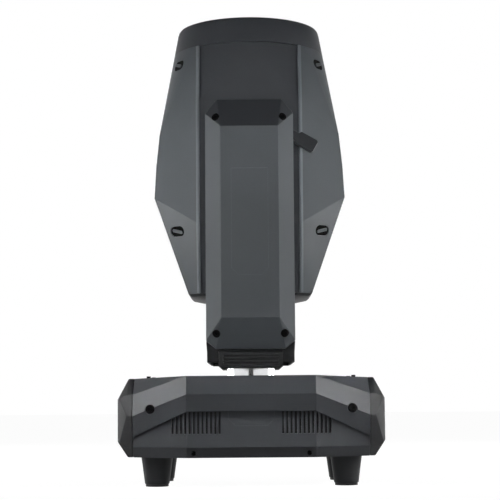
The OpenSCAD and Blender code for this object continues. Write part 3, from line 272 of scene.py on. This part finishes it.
# Stretch of the tool marks of bare metal
ALONG_Z = (1.0, 1.0, 0.04)
ROUND_Z = (0.05, 0.05, 1.0)
ALONG_Y = (1.0, 0.04, 1.0)
FINISHES = {
    "cover_plastic": moulded_plastic("cover_plastic", COVER_GREY, 0.44),
    "dark_plastic": moulded_plastic("dark_plastic", DARK_GREY, 0.42),
    "black_plastic": moulded_plastic("black_plastic", BLACK_PLASTIC, 0.45, 1500.0, 0.18, 0.25),
    "button_plastic": moulded_plastic("button_plastic", BUTTON_GREY, 0.5, 1700.0, 0.12, 0.2),
    "black_steel": powder_coat("black_steel", BLACK_PAINT),
    "polished_steel": worked_metal("polished_steel", POLISHED, 0.10, ROUND_Z, 1200.0, 0.04),
    "bright_steel": worked_metal("bright_steel", STEEL, 0.28, ALONG_Y),
    "screw_steel": black_oxide("screw_steel"),
    "aluminium": worked_metal("aluminium", ALUMINIUM, 0.36, ALONG_Z),
    "reflector": worked_metal("reflector", POLISHED, 0.16, ROUND_Z),
    "brass": worked_metal("brass", BRASS, 0.26, ROUND_Z),
    "rubber": rubber("rubber"),
    "lens_glass": clear_glass("lens_glass"),
    "screen_glass": screen_glass("screen_glass"),
    "circuit_board": circuit_board("circuit_board"),
}

# Pieces whose plastic differs in tone from the rest of their finish
OWN_FINISH = {
    "tilt_lock_lever": moulded_plastic("lever_plastic", LEVER_GREY, 0.45),
    "feet": moulded_plastic("foot_plastic", FOOT_GREY, 0.5),
    # End covers in a darker copy of the base plastic: painted shade of their sideways faces
    "base_end_left": moulded_plastic("end_plastic_shaded", END_SHADED_GREY, 0.5),
    "rear_cap": moulded_plastic("tail_plastic", TAIL_GREY, 0.48),
}
OWN_FINISH["base_end_right"] = OWN_FINISH["base_end_left"]

# Radius of the eased edges of each moulding or plate, in millimetres
EDGE_MM = {
    "base_cover_front": 1.0, "base_cover_rear": 1.0, "base_end_left": 1.6, "base_end_right": 1.6,
    "base_top_plate": 0.6, "feet": 1.5, "foot_pads": 0.6,
    "yoke_saddle": 1.2, "yoke_tray": 0.4, "arm_cover_front": 1.2, "arm_cover_rear": 1.2, "arm_end_caps": 1.0,
    "tilt_lock_lever": 2.2, "head_cover_left": 1.4, "head_cover_right": 1.4, "head_panels": 0.3, "rear_cap": 1.0,
    "button_menu": 0.8, "button_up": 0.8, "button_down": 0.8, "button_enter": 0.8,
}
# Edges sharper than these are eased, or shaded sharp; faces closer than the last are one flat face
EASED_ANGLE = math.radians(14.0)
SMOOTH_ANGLE = math.radians(24.0)
FLAT_ANGLE = math.radians(0.5)
WELD_GAP = 0.02 * MM


def make_smoother():
    """Modifier tree that shades a mesh smooth, apart from edges sharper than the limit."""
    tree = bpy.data.node_groups.new("smooth_shade", "GeometryNodeTree")
    for way in ("INPUT", "OUTPUT"):
        tree.interface.new_socket("Geometry", in_out=way, socket_type="NodeSocketGeometry")
    angle = add_node(tree, "GeometryNodeInputMeshEdgeAngle").outputs["Unsigned Angle"]
    sharp = add_node(tree, "FunctionNodeCompare", {0: angle, 1: SMOOTH_ANGLE}, operation="GREATER_THAN")
    mesh = add_node(tree, "NodeGroupInput").outputs[0]
    inputs = {"Mesh": mesh, "Remove Custom": True, "Edge Sharpness": sharp.outputs[0], "Face Sharpness": False}
    shaded = add_node(tree, "GeometryNodeSetMeshNormal", inputs, mode="SHARPNESS")
    add_node(tree, "NodeGroupOutput", {0: shaded.outputs[0]})
    return tree


SMOOTHER = make_smoother()


def smooth_shade(obj):
    """Joins the solid's split corners and shades its round faces smooth."""
    weld = obj.modifiers.new("weld", "WELD")
    weld.merge_threshold = WELD_GAP
    flat = obj.modifiers.new("flat", "DECIMATE")
    flat.decimate_type = "DISSOLVE"
    flat.angle_limit = FLAT_ANGLE
    obj.modifiers.new("smooth", "NODES").node_group = SMOOTHER


def ease_edges(obj, radius):
    """Rounds the edges of a solid with a modifier, so that they catch the light as moulded edges do."""
    edge = obj.modifiers.new("edge", "BEVEL")
    edge.width = radius
    edge.segments = 3
    edge.limit_method = "ANGLE"
    edge.angle_limit = EASED_ANGLE
    edge.use_clamp_overlap = True
    edge.harden_normals = True


for part in subparts:
    solid = nodes[part["node"]]
    solid.data.materials.clear()
    solid.data.materials.append(OWN_FINISH.get(part["node"], FINISHES[part["material_slot"]]))
    smooth_shade(solid)
    if part["node"] in EDGE_MM:
        ease_edges(solid, EDGE_MM[part["node"]] * MM)


# Trim of the head and the arms

# Points of a solid this close to a plane lie in it
IN_PLANE = 0.05 * MM


def add_piece(name, shape, body, finish):
    """Object made from a bmesh and finish, riding on a body."""
    mesh = bpy.data.meshes.new(name)
    bmesh.ops.recalc_face_normals(shape, faces=shape.faces)
    shape.to_mesh(mesh)
    shape.free()
    mesh.shade_smooth()
    mesh.set_sharp_from_angle(angle=SMOOTH_ANGLE)
    mesh.materials.append(finish)
    piece = bpy.data.objects.new(name, mesh)
    bpy.context.scene.collection.objects.link(piece)
    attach(piece, body)
    return piece


def loft(shape, rings):
    """Skin over rings of as many points each, with flat ends."""
    made = [[shape.verts.new(point) for point in ring] for ring in rings]
    count = len(rings[0])
    for first, second in zip(made, made[1:]):
        for i in range(count):
            j = (i + 1) % count
            shape.faces.new((first[i], first[j], second[j], second[i]))
    shape.faces.new(made[0])
    shape.faces.new(made[-1])


# Raised rim along a cover's inner edge, painted lighter than the cover as a painted highlight of the light its edge
# catches
RIM_HIGHLIGHT = 1.8
HIGHLIT_RIM = moulded_plastic("cover_rim", [RIM_HIGHLIGHT * c for c in COVER_GREY], 0.4)
# Section of the rim: distance from the edge and height, in millimetres
RIM_SECTION = (
    (-0.9, -1.9), (-0.9, 0.6), (-0.55, 1.2), (0.1, 1.5),
    (1.2, 1.5), (2.0, 1.25), (3.9, 0.0), (3.9, -1.0),
)
# Length by which the rim stays short of the ends of the edge
RIM_END = 0.4 * MM


def cover_edge_path(cover, edge_x, side):
    """Outer outline of a cover in the plane of its inner edge, from the bezel down to the rear seam."""
    flat = [Vector((v.co.y, v.co.z)) for v in cover.data.vertices if abs(v.co.x - edge_x) < IN_PLANE]
    outline = [flat[i] for i in geometry.convex_hull_2d(flat)]
    outline = [p for p in outline if p.x * side > 0]
    path = []
    for point in sorted(outline, key=lambda p: (-round(p.y, 4), -abs(p.x))):
        if not path or path[-1].y - point.y > 1 * MM:
            path.append(point)
    return path


def make_cover_rim(name, cover, edge_x):
    """Rims along the inner edge of a cover, on both sides of the head."""
    shape = bmesh.new()
    out_x = math.copysign(1.0, edge_x)
    for side in (-1, 1):
        path = cover_edge_path(cover, edge_x, side)
        path[0] = path[0] + (path[1] - path[0]).normalized() * RIM_END
        path[-1] = path[-1] + (path[-2] - path[-1]).normalized() * RIM_END
        rings = []
        for i, point in enumerate(path):
            along = (path[min(i + 1, len(path) - 1)] - path[max(i - 1, 0)]).normalized()
            out = Vector((along.y, -along.x))
            out *= math.copysign(1.0, out.x * side)
            rings.append([(edge_x + out_x * across * MM, *(point + out * proud * MM))
                          for across, proud in RIM_SECTION])
        loft(shape, rings)
    add_piece(name, shape, "head", HIGHLIT_RIM)


def islands(obj):
    """Corner points and faces' normals and areas of each separate solid of a node, in the order of its mesh."""
    shape = bmesh.new()
    shape.from_mesh(obj.data)
    bmesh.ops.remove_doubles(shape, verts=shape.verts, dist=WELD_GAP / 2)
    shape.verts.index_update()
    shape.faces.index_update()
    found = set()
    for start in shape.verts:
        if start.index in found:
            continue
        found.add(start.index)
        group, edge = [], [start]
        while edge:
            vert = edge.pop()
            group.append(vert)
            for link in vert.link_edges:
                other = link.other_vert(vert)
                if other.index not in found:
                    found.add(other.index)
                    edge.append(other)
        faces = {face.index: face for vert in group for face in vert.link_faces}
        yield ([vert.co.copy() for vert in group],
               [(face.normal.copy(), face.calc_area()) for face in faces.values()])
    shape.free()


# Section of the grip bar of a quarter-turn fastener: place across it and height over the disc, in millimetres
BAR_SECTION = ((-2.1, -0.6), (-2.1, 0.25), (-1.6, 0.7), (1.6, 0.7), (2.1, 0.25), (2.1, -0.6))
# Places along the bar, in millimetres, and the share of its width there
BAR_RINGS = ((-8.4, 0.7), (-7.8, 1.0), (7.8, 1.0), (8.4, 0.7))
# Rise of the bars towards the sides of the head
BAR_TURN = math.radians(14.0)
BAR_DARKER = 0.85
BAR_PLASTIC = moulded_plastic("bar_plastic", [BAR_DARKER * c for c in COVER_GREY], 0.5)


def make_fastener_bars():
    """Grip bars across the oval fasteners, in a lighter plastic than their discs."""
    shape = bmesh.new()
    for points, faces in islands(nodes["head_fasteners"]):
        middle = sum(points, Vector()) / len(points)
        out = max(faces, key=lambda face: face[1])[0]
        out *= math.copysign(1.0, out.x * middle.x + out.y * middle.y)
        level = Vector((-out.y, out.x, 0.0)).normalized()
        level = Matrix.Rotation(math.copysign(BAR_TURN, -middle.x * middle.y), 3, out) @ level
        down = out.cross(level)
        spans = [[point.dot(way) for point in points] for way in (level, down, out)]
        centre = [(min(span) + max(span)) / 2 for span in spans[:2]] + [max(spans[2])]
        origin = level * centre[0] + down * centre[1] + out * centre[2]
        rings = []
        for along, share in BAR_RINGS:
            rings.append([origin + (level * along + down * across * share + out * rise) * MM
                          for across, rise in BAR_SECTION])
        loft(shape, rings)
    add_piece("fastener_bars", shape, "head", BAR_PLASTIC)


# Dark cap over the head of each arm: height over the cover, thickness and eased edge, in millimetres
CAP_PROUD = 0.5
CAP_THICK = 1.6
CAP_EDGE = 0.9
CAP_DARKER = 0.82
CAP_PLASTIC = moulded_plastic("cap_plastic", [CAP_DARKER * c for c in DARK_GREY], 0.42)


def make_arm_cap(name, node):
    """Cap that wraps the top bevel, the corner facets and the top of an arm cover."""
    low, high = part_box(node)
    points = [v.co for v in nodes[node].data.vertices]
    out_y = low[1] if low[1] < 0 else high[1]
    face = [p for p in points if abs(p.y - out_y) < IN_PLANE]
    top = [p for p in points if abs(p.z - high[2]) < IN_PLANE]
    edge_y = max((p.y for p in top), key=abs)
    start_y = min((p.y for p in top), key=abs)
    face_x, face_z = max(p.x for p in face), max(p.z for p in face)
    top_x, side_x = max(p.x for p in top), high[0]
    cut_z = max(p.z for p in points if abs(p.x - side_x) < IN_PLANE)
    places = {
        "face": (face_x, out_y, face_z),
        "top": (top_x, edge_y, high[2]),
        "cut": (side_x, edge_y, cut_z),
        "top_in": (top_x, start_y, high[2]),
        "cut_in": (side_x, start_y, cut_z),
    }
    shape = bmesh.new()
    corner = {}
    for key, (x, y, z) in places.items():
        corner[key] = [shape.verts.new((side * x, y, z)) for side in (-1, 1)]
    for first, second in (("face", "top"), ("top", "top_in")):
        shape.faces.new((*corner[first], *reversed(corner[second])))
    for side in (0, 1):
        shape.faces.new([corner[key][side] for key in ("face", "cut", "top")])
        shape.faces.new([corner[key][side] for key in ("top", "cut", "cut_in", "top_in")])
    cap = add_piece(name, shape, "yoke", CAP_PLASTIC)
    outside = cap.data.polygons[0].normal.y * out_y > 0
    skin = cap.modifiers.new("skin", "SOLIDIFY")
    skin.thickness = CAP_THICK * MM
    skin.offset = (2 * CAP_PROUD / CAP_THICK - 1) * (1 if outside else -1)
    skin.use_even_offset = True
    ease_edges(cap, CAP_EDGE * MM)


left_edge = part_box("head_cover_left")[1][0]
right_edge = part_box("head_cover_right")[0][0]
make_cover_rim("head_cover_rim_left", nodes["head_cover_left"], left_edge)
make_cover_rim("head_cover_rim_right", nodes["head_cover_right"], right_edge)
make_fastener_bars()
make_arm_cap("arm_head_cap_front", "arm_cover_front")
make_arm_cap("arm_head_cap_rear", "arm_cover_rear")


# Stage: a pale floor, a white surround that is dim overhead and in front, and soft lamps
FLOOR_TONE = (0.12, 0.12, 0.12)
FLOOR_GLOW = 0.97
# Strength of the surround overhead, in front, and in the soft light that it gives
CEILING = 0.04
AHEAD = 0.02
SOFT_FILL = 0.02
# Height and depth of a direction between which the surround dims
CEILING_RANGE = (0.05, 0.6)
AHEAD_RANGE = (-0.97, -0.988)
# Soft lamps: name, place, aim, width and height, power, and the spread that a grid leaves it, in degrees
LAMPS = (
    ("left_edge_softbox", (-1.5, 0.35, 0.36), (0, 0, 0.36), (0.6, 0.5), 3.4),
    ("right_edge_softbox", (1.5, 0.35, 0.36), (0, 0, 0.36), (0.6, 0.5), 3.4),
    ("left_high_softbox", (-1.3, -0.9, 0.9), (0, 0, 0.1), (0.5, 0.5), 1.6),
    ("right_high_softbox", (1.3, -0.9, 0.9), (0, 0, 0.1), (0.5, 0.5), 2.0),
    ("left_floor_softbox", (-0.5, -0.75, 0.02), (-0.4, -0.55, 2.0), (0.5, 0.5), 0.8),
    ("right_floor_softbox", (0.5, -0.75, 0.02), (0.4, -0.55, 2.0), (0.5, 0.5), 0.7),
    ("left_low_grid", (-1.5, -0.35, 0.12), (-0.1, -0.08, 0.42), (0.3, 0.3), 0.28, 13.0),
    ("right_low_grid", (1.5, -0.35, 0.12), (0.1, -0.08, 0.42), (0.3, 0.3), 0.26, 13.0),
    ("left_wing_grid", (-1.4, -0.6, 0.75), (-0.11, -0.14, 0.13), (0.2, 0.2), 0.18, 9.0),
    ("right_wing_grid", (1.4, -0.6, 0.75), (0.11, -0.14, 0.13), (0.2, 0.2), 0.18, 9.0),
    ("left_rear_softbox", (-1.2, 1.3, 0.5), (0, 0, 0.3), (0.7, 0.7), 8.0),
    ("right_rear_softbox", (1.2, 1.3, 0.5), (0, 0, 0.3), (0.7, 0.7), 8.0),
    ("front_grid", (0.0, -3.0, 0.25), (0, 0, 0.46), (0.6, 0.4), 0.58, 17.0),
    ("front_softbox", (0.0, -2.4, 1.3), (0, 0, 0.2), (1.0, 0.6), 6.0),
)
# Lamps that leave no mirror image in the pan tube
UNMIRRORED = ("front_grid", "front_softbox")


def seen_as_background(tree):
    """Two factors: 1 for camera rays alone, and 1 for camera, mirror and glass rays."""
    path = add_node(tree, "ShaderNodeLightPath").outputs
    seen = path["Is Camera Ray"]
    for kind in ("Is Glossy Ray", "Is Transmission Ray"):
        seen = add_node(tree, "ShaderNodeMath", {0: seen, 1: path[kind]}, operation="MAXIMUM").outputs[0]
    return path["Is Camera Ray"], seen


def make_floor():
    """Pale floor that reads as white and keeps the shadow."""
    half = 8.0
    mesh = bpy.data.meshes.new("floor")
    mesh.from_pydata([(-half, -half, 0), (half, -half, 0), (half, half, 0), (-half, half, 0)], [], [(0, 1, 2, 3)])
    floor = bpy.data.objects.new("floor", mesh)
    bpy.context.scene.collection.objects.link(floor)
    material, tree, shader = new_material("floor")
    shader.inputs["Base Color"].default_value = rgba(FLOOR_TONE)
    shader.inputs["Roughness"].default_value = 0.95
    shader.inputs["Specular IOR Level"].default_value = 0.0
    _, seen = seen_as_background(tree)
    shader.inputs["Emission Color"].default_value = rgba(WHITE)
    tree.links.new(multiply(tree, seen, FLOOR_GLOW), shader.inputs["Emission Strength"])
    mesh.materials.append(material)


def make_world():
    """White for the camera; for the object bright at the sides and dim overhead and in front."""
    world = bpy.data.worlds.new("studio")
    bpy.context.scene.world = world
    world.use_nodes = True
    tree = world.node_tree
    back = tree.nodes["Background"]
    back.inputs["Color"].default_value = rgba(WHITE)
    way = add_node(tree, "ShaderNodeTexCoord").outputs["Generated"]
    split = add_node(tree, "ShaderNodeSeparateXYZ", {"Vector": way})
    overhead = remap(tree, split.outputs["Z"], CEILING_RANGE, (1.0, CEILING))
    ahead = remap(tree, split.outputs["Y"], AHEAD_RANGE, (1.0, AHEAD))
    camera_ray, seen = seen_as_background(tree)
    share = remap(tree, seen, (0.0, 1.0), (SOFT_FILL, 1.0))
    fill = multiply(tree, multiply(tree, overhead, ahead), share)
    mix = add_node(tree, "ShaderNodeMix", {"Factor": camera_ray}, data_type="FLOAT")
    tree.links.new(fill, mix.inputs[2])
    mix.inputs[3].default_value = 1.0
    tree.links.new(mix.outputs[0], back.inputs["Strength"])


def make_lamp(name, place, target, size, power, spread=180.0):
    """Area lamp that the camera doesn't see."""
    lamp = bpy.data.lights.new(name, "AREA")
    lamp.shape = "RECTANGLE"
    lamp.size, lamp.size_y = size
    lamp.energy = power
    lamp.spread = math.radians(spread)
    obj = bpy.data.objects.new(name, lamp)
    bpy.context.scene.collection.objects.link(obj)
    obj.location = place
    obj.rotation_mode = "QUATERNION"
    obj.rotation_quaternion = (Vector(target) - Vector(place)).to_track_quat("-Z", "Y")
    obj.visible_camera = False
    obj.visible_glossy = name not in UNMIRRORED


def make_camera():
    """Camera at the photograph's place and angle."""
    data = bpy.data.cameras.new("camera")
    data.sensor_width = SENSOR
    data.lens = SENSOR * FOCAL_PIXELS / PHOTO_PIXELS
    camera = bpy.data.objects.new("camera", data)
    bpy.context.scene.collection.objects.link(camera)
    tilt_up = Matrix.Rotation(math.radians(90) + CAMERA_PITCH, 4, "X")
    roll = Matrix.Rotation(CAMERA_ROLL, 4, "Z")
    camera.matrix_world = Matrix.Translation((0.0, -CAMERA_AWAY, CAMERA_UP)) @ tilt_up @ roll
    bpy.context.scene.camera = camera


make_floor()
make_world()
for lamp in LAMPS:
    make_lamp(*lamp)
make_camera()
bpy.context.scene.view_settings.view_transform = "Standard"
